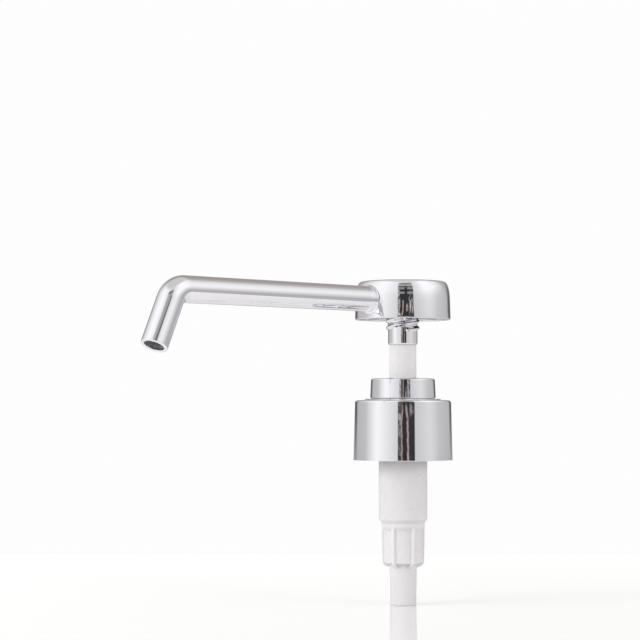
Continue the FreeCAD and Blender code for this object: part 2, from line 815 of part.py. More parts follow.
def add_ball_nubs(body):
    """Nubs that the inlet ball is pushed past, and that stop its lift."""
    sketch = sketch_on(body, "nub_outline", "XZ_Plane")
    nub_reach = d.inlet_ball_radius - d.nub_cover
    rise = root_of(d.inlet_ball_radius * d.inlet_ball_radius - nub_reach * nub_reach)
    nub_foot = inlet_ball_level + d.inlet_lift + rise + d.running_gap
    root = cage_radius + d.chamber_wall / 2
    draw_outline(sketch, [
        (nub_reach, nub_foot),
        (root, nub_foot),
        (root, nub_foot + d.nub_height),
        (nub_reach, nub_foot + d.nub_height),
    ])
    nub = extruded(body, "nub", sketch, d.nub_width, side="Symmetric")
    repeated(body, "nubs", nub, d.nub_count)


def cut_air_holes(body):
    """Two holes that let air into the bottle. The piston covers them when it is up."""
    sketch = sketch_on(body, "air_hole_outline", "XZ_Plane")
    draw_circle(sketch, 0, piston_top - d.vent_drop, d.vent_radius)
    extruded(body, "air_holes", sketch, 3 * d.housing_radius, kind="PartDesign::Pocket", side="Symmetric")


parts = [
    build_head(),
    build_spout(),
    build_stem(),
    build_ball("outlet_ball", d.outlet_ball_radius, outlet_ball_level),
    build_piston(),
    build_insert(),
    build_spring(),
    build_lock_nut(),
    build_lock_nut_cover(),
    build_closure_shell(),
    build_closure_cap(),
    build_gasket(),
    build_housing(),
    build_ball("inlet_ball", d.inlet_ball_radius, inlet_ball_level),
]
doc.recompute()

# Every object has to be sound, and every step of a body has to change its solid

for item in doc.Objects:
    if "Invalid" in item.State or "Error" in item.State:
        raise RuntimeError(f"{item.Name} failed")

for part in parts:
    if part.Shape.isNull() or not part.Shape.isValid() or len(part.Shape.Solids) != 1:
        raise RuntimeError(f"{part.Label} isn't one sound solid")
    steps = [step for step in getattr(part, "Group", []) if step.isDerivedFrom("PartDesign::Feature")]
    for before, after in zip(steps, steps[1:]):
        if abs(after.Shape.Volume - before.Shape.Volume) < NEAR:
            raise RuntimeError(f"{after.Name} changes nothing")

os.makedirs("parts", exist_ok=True)
for part in parts:
    part.Shape.exportStep(f"parts/{part.Label}.step")
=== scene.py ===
import math

import bpy
import numpy as np
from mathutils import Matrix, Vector


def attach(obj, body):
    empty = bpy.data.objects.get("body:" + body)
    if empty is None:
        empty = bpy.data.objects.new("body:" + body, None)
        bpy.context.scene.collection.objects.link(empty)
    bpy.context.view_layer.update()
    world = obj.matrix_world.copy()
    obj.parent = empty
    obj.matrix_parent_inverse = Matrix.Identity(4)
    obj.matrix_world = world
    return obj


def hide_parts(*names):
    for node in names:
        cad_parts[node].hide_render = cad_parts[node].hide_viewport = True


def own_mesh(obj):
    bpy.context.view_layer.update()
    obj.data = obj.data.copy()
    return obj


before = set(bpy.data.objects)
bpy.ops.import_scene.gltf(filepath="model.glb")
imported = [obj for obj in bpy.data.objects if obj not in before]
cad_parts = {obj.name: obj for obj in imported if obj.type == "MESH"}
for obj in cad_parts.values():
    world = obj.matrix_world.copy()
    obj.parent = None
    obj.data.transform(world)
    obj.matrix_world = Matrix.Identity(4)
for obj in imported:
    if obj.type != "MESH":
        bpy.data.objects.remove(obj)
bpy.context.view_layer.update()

# Sizes in millimetres. The origin is on the pump's axis at the plane of the bottle's rim, Z is up, and the spout
# runs along -X

MM = 0.001
TURN = 2 * math.pi
ARC_STEP = math.radians(9)
SMOOTH_LIMIT = math.radians(32)
FLOOR = -65.35
SPOUT_LEVEL = 39.1

# Form helpers


def rounded(corners, closed=False):
    """Points of an outline. A corner's third number is the radius that rounds it."""
    points = []
    count = len(corners)
    for index, corner in enumerate(corners):
        here = np.array(corner[:2], float)
        radius = corner[2] if len(corner) > 2 else 0
        if radius == 0 or (not closed and index in (0, count - 1)):
            points.append(here)
            continue
        back = np.array(corners[index - 1][:2], float) - here
        ahead = np.array(corners[(index + 1) % count][:2], float) - here
        back /= np.linalg.norm(back)
        ahead /= np.linalg.norm(ahead)
        between = math.acos(max(-1.0, min(1.0, float(back @ ahead))))
        turn = math.pi - between
        reach = radius / math.tan(between / 2)
        middle = back + ahead
        centre = here + middle / np.linalg.norm(middle) * radius / math.sin(between / 2)
        start = here + back * reach - centre
        end = here + ahead * reach - centre
        steps = max(2, math.ceil(turn / ARC_STEP))
        for step in range(steps + 1):
            share = step / steps
            mixed = start * math.sin((1 - share) * turn) + end * math.sin(share * turn)
            points.append(centre + mixed / math.sin(turn))
    return np.array(points)


def even_angles(count):
    return np.arange(count) * TURN / count


ROUND = even_angles(240)


class Form:
    """Grids of points in millimetres that are welded into one mesh."""

    def __init__(self):
        self.points = []
        self.faces = []
        self.count = 0

    def grid(self, points, around=True, along=False):
        """Rows of points. A row closes on itself if around is true, the last row joins the first if along is."""
        rows, columns = points.shape[:2]
        index = np.arange(rows * columns).reshape(rows, columns) + self.count
        if around:
            index = np.hstack([index, index[:, :1]])
        if along:
            index = np.vstack([index, index[:1]])
        faces = np.stack([index[:-1, :-1], index[:-1, 1:], index[1:, 1:], index[1:, :-1]], axis=-1)
        self.points.append(points.reshape(-1, 3))
        self.faces.append(faces.reshape(-1, 4))
        self.count += rows * columns
        return self

    def rings(self, radius, level, angles=ROUND):
        """Rows round the pump's axis. Each has one level, and one radius or a radius for each angle."""
        level = np.repeat(level, len(angles), axis=1)
        return self.grid(np.stack([radius * np.cos(angles), radius * np.sin(angles), level], axis=-1))

    def lathe(self, outline, angles=ROUND):
        """Turns an outline of (radius, level) about the pump's axis. Its solid side is on the outline's left."""
        return self.rings(outline[:, :1], outline[:, 1:], angles)

    def moved(self, change, start=0):
        """Changes the points of every grid from the given one on."""
        for index in range(start, len(self.points)):
            self.points[index] = change(self.points[index])
        return self

    def welded(self):
        points = np.vstack(self.points)
        keys = np.round(points * 2e4).astype(np.int64)
        _, first, back = np.unique(keys, axis=0, return_index=True, return_inverse=True)
        faces = back.reshape(-1)[np.vstack(self.faces)]
        kept = []
        for face in faces.tolist():
            ring = [corner for place, corner in enumerate(face) if corner != face[place - 1]]
            if len(set(ring)) == len(ring) and len(ring) > 2:
                kept.append(ring)
        return points[first], kept


def turned(angle):
    """Change that turns points about the pump's axis."""
    c, s = math.cos(angle), math.sin(angle)
    return lambda p: np.stack([p[:, 0] * c - p[:, 1] * s, p[:, 0] * s + p[:, 1] * c, p[:, 2]], axis=-1)


def corner_normals(mesh):
    """Normals of the faces' corners, weighted by area, over neighbours that turn by less than the limit.

    A vertex with more faces than the fan's least is the tip of a fan, and all its corners share one normal.
    """
    fan = 12
    loops = len(mesh.loops)
    vertex = np.zeros(loops, np.int32)
    mesh.loops.foreach_get("vertex_index", vertex)
    sizes = np.zeros(len(mesh.polygons), np.int32)
    mesh.polygons.foreach_get("loop_total", sizes)
    normal = np.zeros(len(mesh.polygons) * 3, np.float32)
    mesh.polygons.foreach_get("normal", normal)
    normal = normal.reshape(-1, 3).astype(float)
    area = np.zeros(len(mesh.polygons), np.float32)
    mesh.polygons.foreach_get("area", area)
    face = np.repeat(np.arange(len(sizes)), sizes)
    order = np.argsort(vertex, kind="stable")
    sorted_vertex = vertex[order]
    start = np.searchsorted(sorted_vertex, np.arange(len(mesh.vertices)))
    total = np.bincount(vertex, minlength=len(mesh.vertices))
    own = normal[face[order]]
    heavy = own * area[face[order]][:, None]
    place = np.arange(loops) - start[sorted_vertex]
    size = total[sorted_vertex]
    result = heavy.copy()
    least = math.cos(SMOOTH_LIMIT)
    few = size <= fan
    for shift in range(1, fan):
        use = few & (shift < size)
        other = start[sorted_vertex[use]] + (place[use] + shift) % size[use]
        near = (own[use] * own[other]).sum(1) > least
        rows = np.flatnonzero(use)[near]
        result[rows] += heavy[other[near]]
    for hub in np.flatnonzero(total > fan):
        rows = slice(start[hub], start[hub] + total[hub])
        result[rows] = heavy[rows].sum(0)
    result /= np.maximum(np.linalg.norm(result, axis=1), 1e-12)[:, None]
    normals = np.empty_like(result)
    normals[order] = result
    return normals


def add_object(name, form):
    points, faces = form.welded()
    mesh = bpy.data.meshes.new(name)
    mesh.from_pydata((points * MM).tolist(), [], faces)
    obj = bpy.data.objects.new(name, mesh)
    bpy.context.scene.collection.objects.link(obj)
    return obj


def cut_by(obj, form):
    cutter = add_object("cutter", form)
    step = obj.modifiers.new("cut", "BOOLEAN")
    step.object = cutter
    step.operation = "DIFFERENCE"
    step.solver = "EXACT"
    graph = bpy.context.evaluated_depsgraph_get()
    result = bpy.data.meshes.new_from_object(obj.evaluated_get(graph))
    obj.modifiers.clear()
    obj.data = result
    bpy.data.objects.remove(cutter)


def add_piece(name, form, body, material, nodes=(), cutter=None):
    obj = add_object(name, form)
    obj.data.validate()
    if cutter is not None:
        cut_by(obj, cutter)
    mesh = obj.data
    mesh.polygons.foreach_set("use_smooth", np.ones(len(mesh.polygons), bool))
    mesh.normals_split_custom_set(corner_normals(mesh).tolist())
    mesh.materials.clear()
    mesh.materials.append(material)
    if nodes:
        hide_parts(*nodes)
    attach(obj, body)
    return obj


def thread_height(level, lead, starts, start_level, low, high, crest, flank, fade=0.08):
    """Share of a thread's full height, 0 to 1, round the axis at each level.

    The ridge's middle is at start_level where the angle is 0. The thread lies between low and high, and fades out
    over its ends by a share of the lead.
    """
    pitch = lead / starts
    offset = np.mod(level - start_level - lead * ROUND / TURN + pitch / 2, pitch) - pitch / 2
    centre = level - offset
    share = np.clip((crest / 2 + flank - np.abs(offset)) / flank, 0, 1)
    # Flanks between straight and smooth
    share += 0.35 * (share * share * (3 - 2 * share) - share)
    inside = np.clip((centre - low) / (fade * lead), 0, 1) * np.clip((high - centre) / (fade * lead), 0, 1)
    return share * inside


# Material helpers


def new_material(name):
    material = bpy.data.materials.new(name)
    material.use_nodes = True
    tree = material.node_tree
    shader = next(node for node in tree.nodes if node.type == "BSDF_PRINCIPLED")
    return material, tree, shader


def add_node(tree, kind, inputs=None, **settings):
    node = tree.nodes.new(kind)
    for key, value in settings.items():
        setattr(node, key, value)
    for key, value in (inputs or {}).items():
        if isinstance(value, bpy.types.NodeSocket):
            tree.links.new(value, node.inputs[key])
        else:
            node.inputs[key].default_value = value
    return node


def math_node(tree, operation, *values):
    return add_node(tree, "ShaderNodeMath", dict(enumerate(values)), operation=operation).outputs[0]


def mix_node(tree, factor, first, second):
    node = add_node(tree, "ShaderNodeMix", {"Factor": factor}, data_type="RGBA")
    # The float sockets share the names of the colour ones, so the colours are set by place
    for place, colour in ((6, first), (7, second)):
        if isinstance(colour, bpy.types.NodeSocket):
            tree.links.new(colour, node.inputs[place])
        else:
            node.inputs[place].default_value = (*colour, 1)
    return node.outputs[2]


def two_tone(tree, shader, factor, first, second):
    tree.links.new(mix_node(tree, factor, first, second), shader.inputs["Base Color"])


def object_point(tree):
    return add_node(tree, "ShaderNodeTexCoord").outputs["Object"]


def noise(tree, point, scale, detail=3.0, roughness=0.5):
    node = add_node(tree, "ShaderNodeTexNoise", {
        "Vector": point, "Scale": scale, "Detail": detail, "Roughness": roughness,
    })
    return node.outputs["Fac"]


def map_range(tree, value, start, end, low=0.0, high=1.0, kind="LINEAR"):
    node = add_node(tree, "ShaderNodeMapRange", {
        "Value": value, "From Min": start, "From Max": end, "To Min": low, "To Max": high,
    }, interpolation_type=kind)
    return node.outputs["Result"]


def spread(tree, factor, low, high, start=0.3, end=0.7):
    """A noise's usual range, drawn out to the range from low to high."""
    return map_range(tree, factor, start, end, low, high)


def stretched(tree, point, along):
    """Point whose Z is scaled, so that a noise over it gets drawn-out grains."""
    return add_node(tree, "ShaderNodeMapping", {"Vector": point, "Scale": (1, 1, along)}).outputs[0]


def bump(tree, height, distance, strength, normal=None):
    node = add_node(tree, "ShaderNodeBump", {"Height": height, "Distance": distance, "Strength": strength})
    if normal is not None:
        tree.links.new(normal, node.inputs["Normal"])
    return node.outputs["Normal"]


# Materials


def chrome_material():
    """Bright plating on moulded plastic: a mirror with faint waviness, haze and hairlines."""
    material, tree, shader = new_material("chrome_plating")
    point = object_point(tree)
    shader.inputs["Metallic"].default_value = 1
    tint = spread(tree, noise(tree, point, 160, 2), 0, 1)
    two_tone(tree, shader, tint, (0.905, 0.895, 0.93), (0.92, 0.91, 0.94))
    haze = spread(tree, noise(tree, point, 220, 4, 0.6), 0.008, 0.022)
    hair = spread(tree, noise(tree, stretched(tree, point, 14), 900, 2, 0.7), 0.0, 0.05, 0.66, 0.8)
    tree.links.new(math_node(tree, "ADD", haze, hair), shader.inputs["Roughness"])
    normal = bump(tree, noise(tree, point, 240, 1), 0.00002, 0.05)
    normal = bump(tree, noise(tree, point, 2600, 2), 0.000001, 0.08, normal)
    tree.links.new(normal, shader.inputs["Normal"])
    return material


def plastic_material(name, colour, shade, roughness, scatter):
    """Moulded plastic with a slight flow mottle and a fine skin."""
    material, tree, shader = new_material(name)
    point = object_point(tree)
    two_tone(tree, shader, spread(tree, noise(tree, point, 190, 3), 0, 1), colour, shade)
    haze = spread(tree, noise(tree, point, 700, 4, 0.6), roughness - 0.05, roughness + 0.07)
    tree.links.new(haze, shader.inputs["Roughness"])
    shader.inputs["IOR"].default_value = 1.49
    shader.inputs["Subsurface Weight"].default_value = scatter
    shader.inputs["Subsurface Radius"].default_value = (1.0, 0.95, 0.95)
    shader.inputs["Subsurface Scale"].default_value = 0.003
    normal = bump(tree, noise(tree, point, 330, 1), 0.00003, 0.3)
    normal = bump(tree, noise(tree, point, 5200, 3), 0.000004, 0.5, normal)
    tree.links.new(normal, shader.inputs["Normal"])
    return material


def dull_material(name, shade):
    """Dull unplated plastic on the inside of a plated part."""
    material, tree, shader = new_material(name)
    point = object_point(tree)
    tint = spread(tree, noise(tree, point, 400, 3), 0, 1)
    two_tone(tree, shader, tint, shade, [part + 0.04 for part in shade])
    shader.inputs["Roughness"].default_value = 0.6
    return material


def foam_material():
    """Closed-cell foam with its small cells showing."""
    material, tree, shader = new_material("gasket_foam")
    point = object_point(tree)
    cells = add_node(tree, "ShaderNodeTexVoronoi", {"Vector": point, "Scale": 3200}).outputs["Distance"]
    two_tone(tree, shader, spread(tree, cells, 0, 1, 0.1, 0.7), (0.70, 0.69, 0.67), (0.84, 0.835, 0.82))
    shader.inputs["Roughness"].default_value = 0.85
    tree.links.new(bump(tree, cells, 0.00006, 0.7), shader.inputs["Normal"])
    return material


def steel_material(name, grain):
    """Ground or drawn steel, with fine lines that the grain draws out along Z."""
    material, tree, shader = new_material(name)
    shader.inputs["Metallic"].default_value = 1
    lines = noise(tree, stretched(tree, object_point(tree), grain), 1500, 3, 0.6)
    two_tone(tree, shader, spread(tree, lines, 0, 1), (0.60, 0.59, 0.57), (0.72, 0.71, 0.70))
    tree.links.new(spread(tree, lines, 0.16, 0.30), shader.inputs["Roughness"])
    tree.links.new(bump(tree, lines, 0.000006, 0.6), shader.inputs["Normal"])
    return material


chrome = chrome_material()
white = plastic_material("white_plastic", (0.785, 0.765, 0.77), (0.765, 0.745, 0.75), 0.30, 0.6)
barrel = plastic_material("barrel_plastic", (0.71, 0.69, 0.695), (0.69, 0.67, 0.675), 0.30, 0.5)
seal = plastic_material("seal_plastic", (0.72, 0.73, 0.73), (0.67, 0.68, 0.69), 0.42, 0.25)
foam = foam_material()
bore = dull_material("spout_inside", (0.25, 0.25, 0.26))
# Dark grey of the drum's inside and its webs: partly unplated plastic, partly painted shade of the deep recess
shaded_hollow = dull_material("drum_inside_painted_shade", (0.13, 0.13, 0.135))
ball_steel = steel_material("ball_steel", 1)
spring_steel = steel_material("spring_steel", 6)


# Head: drum with its crowned top, hub, threaded sleeve, and the chamber over the outlet ball. Its lock thread and
# the nut's have the same lead

DRUM_SIDE = [
    (16.55, 33.4), (16.545, 34.2), (16.53, 35.2), (16.505, 36.4), (16.475, 37.6), (16.44, 38.8), (16.39, 39.9),
    (16.33, 40.8), (16.25, 41.6), (16.15, 42.35), (16.03, 43.0), (15.88, 43.6), (15.71, 44.1), (15.54, 44.5),
    (15.36, 44.85), (15.17, 45.15), (14.97, 45.36), (14.74, 45.5), (14.45, 45.58), (14.1, 45.62),
    (13.6, 45.66), (12.8, 45.72), (11.6, 45.79), (10.2, 45.86), (8.6, 45.93), (6.9, 45.985), (5.0, 46.02),
    (3.0, 46.042), (1.4, 46.049), (0, 46.05),
]
SLEEVE = 5.1
LOCK_LEAD = 4.6
LOCK_STARTS = 2


def drum_curve():
    """Drum's side and crown as a fine smooth curve through its measured points."""
    points = np.array([(16.55, 32.8)] + DRUM_SIDE)
    crown = 21
    length = np.concatenate([[0], np.cumsum(np.linalg.norm(np.diff(points, axis=0), axis=1))])
    fine = np.concatenate([np.linspace(0, length[crown], 90), np.linspace(length[crown], length[-1], 26)[1:]])
    slopes = np.gradient(points, length, axis=0)
    place = np.clip(np.searchsorted(length, fine, side="right") - 1, 0, len(length) - 2)
    span = (length[place + 1] - length[place])[:, None]
    share = ((fine - length[place]) / span[:, 0])[:, None]
    start, end = points[place], points[place + 1]
    slope_0, slope_1 = slopes[place] * span, slopes[place + 1] * span
    cubic = (2 * share**3 - 3 * share**2 + 1) * start + (share**3 - 2 * share**2 + share) * slope_0
    return cubic + (-2 * share**3 + 3 * share**2) * end + (share**3 - share**2) * slope_1


def head_form():
    form = Form()
    form.lathe(rounded([
        (0, 38.0), (0.85, 38.0), (1.0, 38.2), (1.0, 41.2, 0.3), (3.3, 41.2, 0.5), (3.3, 34.65), (4.22, 34.65),
        (4.22, 24.2), (4.37, 23.95), (4.93, 23.95, 0.12), (SLEEVE, 24.3, 0.3), (SLEEVE, 28.0),
    ]))
    levels = np.linspace(28.0, 33.6, 75)[:, None]
    start_level = 29.77 - LOCK_LEAD * math.radians(136.8) / TURN
    rise = thread_height(levels, LOCK_LEAD, LOCK_STARTS, start_level, 28.75, 33.35, crest=0.34, flank=0.74, fade=0.03)
    rise *= np.clip((levels - 28.3) / 0.45, 0, 1)
    form.rings(SLEEVE + 0.69 * rise, levels)
    form.lathe(rounded([
        (SLEEVE, 33.6), (SLEEVE, 33.7), (5.95, 33.7, 0.15), (6.0, 43.6, 0.8), (14.35, 43.6, 1.2), (14.75, 32.5, 0.25),
        (16.55, 32.5, 0.3), (16.55, 32.8),
    ]))
    return form.lathe(drum_curve())


def head_webs_form():
    """Three webs between hub and side wall, on the sides away from the spout, with rounded lower edges."""
    half, foot_half, top, foot = 0.5, 0.53, 44.4, 35.7
    section = rounded([(-half, top), (-foot_half, foot, 0.3), (foot_half, foot, 0.3), (half, top)], closed=True)
    rows = []
    for radius in (5.6, 5.95, 14.75, 15.1):
        rows.append(np.stack([np.full(len(section), radius), section[:, 0], section[:, 1]], axis=-1))
    form = Form()
    for angle in (-90, 0, 90):
        start = len(form.points)
        form.grid(np.array(rows)[:, ::-1])
        for row, order in ((rows[0], 1), (rows[-1], -1)):
            middle = np.repeat(row.mean(0)[None, :], len(row), axis=0)
            form.grid(np.array([middle, row[::-1]])[::order])
        form.moved(turned(math.radians(angle)), start)
    return form


def drum_lining_form():
    """Dull unplated inside of the drum, from the sleeve over the hub and the ceiling to the side wall. Its dark grey is
    partly the unplated plastic and partly painted shade of the deep recess.
    """
    return Form().lathe(rounded([
        (6.02, 34.0), (6.02, 43.55, 0.8), (14.3, 43.55, 1.2), (14.64, 33.9), (14.62, 33.9), (14.28, 43.53, 1.18),
        (6.04, 43.53, 0.78), (6.04, 34.0), (6.02, 34.0),
    ]))


# Spout: one bent tube with a rounded lip, in a neck on the head

TUBE = 4.35
BEND_START = -97.37
BEND_RADIUS = 6.0
BEND_TURN = math.radians(66.5)
TIP_LENGTH = 15.75


def spout_neck_form():
    """Boss inside the head and the short neck outside it, run into the drum's side by a rolled fillet."""
    fillet, boss, mouth, channel = 0.9, 5.0, 3.87, 1.9
    angles = even_angles(192)
    curve = drum_curve()
    along = np.gradient(curve, axis=0)
    along /= np.linalg.norm(along, axis=1)[:, None]
    outward = np.stack([along[:, 1], -along[:, 0]], axis=-1)
    side = curve[:, 0] > 13
    offset = curve[side] + fillet * outward[side]
    lateral = (TUBE + fillet) * np.cos(angles)
    level = SPOUT_LEVEL + (TUBE + fillet) * np.sin(angles)
    order = np.argsort(offset[:, 1])
    reach = np.interp(level, offset[order, 1], offset[order, 0])
    tilt_r = np.interp(level, offset[order, 1], outward[side][order, 0])
    tilt_z = np.interp(level, offset[order, 1], outward[side][order, 1])
    centre = np.stack([-np.sqrt(reach**2 - lateral**2), lateral, level], axis=-1)
    spin = np.stack([centre[:, 0] / reach, centre[:, 1] / reach], axis=-1)
    drum_normal = np.stack([tilt_r * spin[:, 0], tilt_r * spin[:, 1], tilt_z], axis=-1)
    drum_normal /= np.linalg.norm(drum_normal, axis=1)[:, None]
    around = np.stack([np.zeros(len(angles)), np.cos(angles), np.sin(angles)], axis=-1)

    def ring(x, radius):
        return np.array([x, 0, SPOUT_LEVEL]) + radius * around

    rows = [ring(-5.2, boss - 0.4), ring(-5.5, boss), ring(-15.0, boss)]
    inside = centre - fillet * drum_normal
    rows.append(inside - 0.7 * drum_normal)
    turn = np.arccos(np.clip((drum_normal * around).sum(1), -1, 1))[:, None]
    for share in np.arange(15) / 14:
        mixed = drum_normal * np.sin((1 - share) * turn) + around * np.sin(share * turn)
        rows.append(centre - fillet * mixed / np.sin(turn))
    rows += [ring(-17.3, TUBE), ring(-17.68, TUBE), ring(-17.78, TUBE - 0.03), ring(-17.85, TUBE - 0.12)]
    rows += [ring(-17.85, mouth), ring(-8.58, mouth), ring(-8.58, channel), ring(-5.2, channel)]
    return Form().grid(np.array(rows), along=True)


def spout_path(start, straight_count, bend_count, tip_lengths):
    """Places (x, z, turn) on the spout's centre line, from the head to the tip."""
    path = [(x, SPOUT_LEVEL, 0.0) for x in np.linspace(start, BEND_START, straight_count)]
    for share in np.linspace(0, 1, bend_count)[1:]:
        turn = share * BEND_TURN
        drop = BEND_RADIUS * (1 - math.cos(turn))
        path.append((BEND_START - BEND_RADIUS * math.sin(turn), SPOUT_LEVEL - drop, turn))
    end_x, end_z, turn = path[-1]
    for length in tip_lengths:
        path.append((end_x - length * math.cos(turn), end_z - length * math.sin(turn), turn))
    return path


def tube_ring(angles, x, z, turn, radius, ahead=0.0):
    across = radius * np.sin(angles)
    x = x - ahead * math.cos(turn) - across * math.sin(turn)
    z = z - ahead * math.sin(turn) + across * math.cos(turn)
    return np.stack([x, -radius * np.cos(angles), z], axis=-1)


def spout_form():
    bore, spigot, root = 3.2, 3.85, -8.6
    angles = even_angles(160)
    path = spout_path(-18.0, 60, 49, np.append(np.linspace(0, TIP_LENGTH - 1.2, 20)[1:], TIP_LENGTH - 0.4))
    seat = [(root, 3.6), (-8.8, spigot), (-17.86, spigot), (-17.86, TUBE - 0.13), (-17.93, TUBE - 0.03)]
    rows = [tube_ring(angles, x, SPOUT_LEVEL, 0, radius) for x, radius in seat]
    rows += [tube_ring(angles, *place, TUBE) for place in path[:-1]]
    lip = rounded([(TUBE, 0), (TUBE, 0.4, 0.3), (bore + 0.05, 0.4, 0.22), (bore, 0)])
    # The lip is cut a little out of square, higher on the side that faces the camera
    slant = -0.1 * (0.8165 * np.cos(angles) + 0.578 * np.sin(angles))
    rows += [tube_ring(angles, *path[-1], radius, ahead + radius * slant) for radius, ahead in lip]
    rows += [tube_ring(angles, *place, bore) for place in path[::-1][2:]]
    rows.append(tube_ring(angles, root, SPOUT_LEVEL, 0, bore))
    return Form().grid(np.array(rows), along=True)


def spout_lining_form():
    """Unplated lining of the spout's bore, from the head to just inside the lip."""
    angles = even_angles(96)
    path = spout_path(-8.7, 12, 25, (5.0, 15.0))
    rows = [tube_ring(angles, *place, 3.205) for place in path]
    rows += [tube_ring(angles, *place, 3.13) for place in path[::-1]]
    return Form().grid(np.array(rows), along=True)


# Stem, balls, piston and insert


def stem_form():
    return Form().lathe(rounded([
        (2.7, -12.98), (4.0, -12.98), (4.1, -12.85), (4.1, -7.95), (4.65, -7.95, 0.15), (4.65, 23.93), (4.2, 23.93),
        (4.2, 34.3), (4.0, 34.6), (2.75, 34.6), (1.3, 33.2), (1.3, 32.0), (2.7, 32.0), (2.7, -12.98),
    ]))


def ball_form(radius, level):
    turns = np.linspace(-math.pi / 2, math.pi / 2, 65)
    outline = np.stack([radius * np.cos(turns), level + radius * np.sin(turns)], axis=-1)
    return Form().lathe(outline, even_angles(96))


def piston_form():
    """Double cup with flared thin lips and a drawn-in waist."""
    top, foot = -8.0, -12.95
    return Form().lathe(rounded([
        (4.11, foot), (5.1, foot, 0.15), (5.3, foot + 1.35, 0.3), (6.5, foot + 1.35, 0.5), (7.1, foot + 0.03, 0.06),
        (7.37, foot, 0.08), (7.37, foot + 0.75, 0.3), (6.72, foot + 1.35, 0.6), (6.7, -10.475),
        (6.72, top - 1.35, 0.6), (7.37, top - 0.75, 0.3), (7.37, top, 0.08), (7.1, top - 0.03, 0.06),
        (6.5, top - 1.35, 0.5), (5.3, top - 1.35, 0.3), (5.1, top, 0.15), (4.11, top), (4.11, foot),
    ]))


def insert_form():
    return Form().lathe(rounded([
        (1.6, -15.4), (3.55, -15.4), (3.76, -15.1), (3.8, -13.9, 0.1), (5.4, -13.9, 0.2), (5.4, -13.0, 0.2),
        (2.68, -13.0), (2.68, -7.3), (2.45, -7.0), (1.6, -7.0), (1.6, -15.4),
    ]))


def spring_form():
    """Round wire that winds almost flat for half a turn at each end."""
    wire, radius, turns, end_rise, flat = 0.4, 4.3, 7.0, 0.12, 0.07
    foot, top = -44.5 + wire, -13.95 - wire
    count = int(turns * 72)
    share = np.linspace(0, 1, count + 1)
    eased = np.clip((share - flat) / (1 - 2 * flat), 0, 1)
    level = foot + (top - foot - end_rise) * eased + end_rise * share
    angle = share * turns * TURN
    centre = np.stack([radius * np.cos(angle), radius * np.sin(angle), level], axis=-1)
    along = np.gradient(centre, axis=0)
    along /= np.linalg.norm(along, axis=1)[:, None]
    out = np.stack([np.cos(angle), np.sin(angle), np.zeros(count + 1)], axis=-1)
    out -= (out * along).sum(1)[:, None] * along
    out /= np.linalg.norm(out, axis=1)[:, None]
    up = np.cross(along, out)
    around = even_angles(20)[:, None]
    rows = [np.repeat(centre[:1], len(around), axis=0)]
    for place in range(count + 1):
        rows.append(centre[place] + wire * (np.cos(around) * out[place] + np.sin(around) * up[place]))
    rows.append(np.repeat(centre[-1:], len(around), axis=0))
    return Form().grid(np.array(rows)[:, ::-1])


# Lock nut, its cover, the closure shell and cap, the gasket


def lock_nut_form():
    bore, guide, top, thread_foot = 6.05, 4.71, 11.75, 5.9
    form = Form()
    form.lathe(rounded([
        (guide, 2.4), (guide, -7.6), (4.9, -7.8), (7.2, -7.8), (7.38, -7.6), (7.38, 10.6), (8.36, 10.6), (8.36, 8.07),
        (8.61, 7.8), (8.61, 7.2), (8.36, 6.93), (8.36, 5.0), (9.62, 5.0, 0.1), (9.66, 5.62), (10.52, 5.62, 0.15),
        (10.52, top), (bore, top),
    ]))
    levels = np.linspace(top, thread_foot, 75)[:, None]
    # When the head is down, these ridges run midway between its own
    rise = thread_height(levels, LOCK_LEAD, LOCK_STARTS, 1.27, 6.5, 11.5, crest=0.4, flank=0.5)
    form.rings(bore - 0.66 * rise, levels)
    return form.lathe(np.array([(bore, thread_foot), (bore, 2.4), (guide, 2.4)]))


def shell_form(hole, top, foot, wall, edge, foot_edge, rim=()):
    """Thin cup, open below, with a rolled edge round its top and a rounded foot. Its hole may have a raised rim."""
    return Form().lathe(rounded([
        (hole, top[1] - wall), (top[0] - wall, top[1] - wall, 0.3), (foot[0] - wall, foot[1], 0.12),
        (foot[0], foot[1], foot_edge), (top[0], top[1], edge), *rim, (hole, top[1], 0.12), (hole, top[1] - wall),
    ]))


def closure_cap_form():
    """Cap with the single-start thread for the bottle's neck."""
    bore, hole, outside, web, top, thread_foot = 13.9, 8.39, 16.1, 3.35, 4.35, -14.6
    form = Form()
    form.lathe(rounded([(hole, web), (bore, web, 0.4), (bore, 0.0)]))
    levels = np.linspace(0.0, thread_foot, 146)[:, None]
    rise = thread_height(levels, 4.23, 1, -1.0, -11.6, -2.2, crest=0.5, flank=0.8)
    form.rings(bore - 0.95 * rise, levels)
    return form.lathe(rounded([
        (bore, thread_foot), (bore, -14.8), (14.2, -15.2), (15.95, -15.2, 0.1), (outside, -14.9), (outside, top),
        (hole, top), (hole, web),
    ]))


def gasket_form():
    return Form().lathe(rounded([(8.36, 0.0), (12.9, 0.0, 0.15), (12.9, 1.5, 0.15), (8.36, 1.5), (8.36, 0.0)]))


# Housing with its ribbed valve chamber and dip-tube socket

RIBS = 6
RIB_HALF = 0.575
RIB_FILLET = 0.35
RIB_CORNER = 0.22
RIB_TURN = math.radians(14.4)


def rib_profile():
    """Kind of each point over half a rib, from its foot to its middle, with two shares that place it."""
    quarter = [step / 4 * math.pi / 2 for step in range(5)]
    fillet = [("fillet", math.sin(turn), math.cos(turn)) for turn in quarter]
    corner = [("corner", math.sin(turn), math.cos(turn)) for turn in quarter]
    return fillet + [("side", 0.0, 0.5)] + corner + [("top", 0.5, 0.0)]


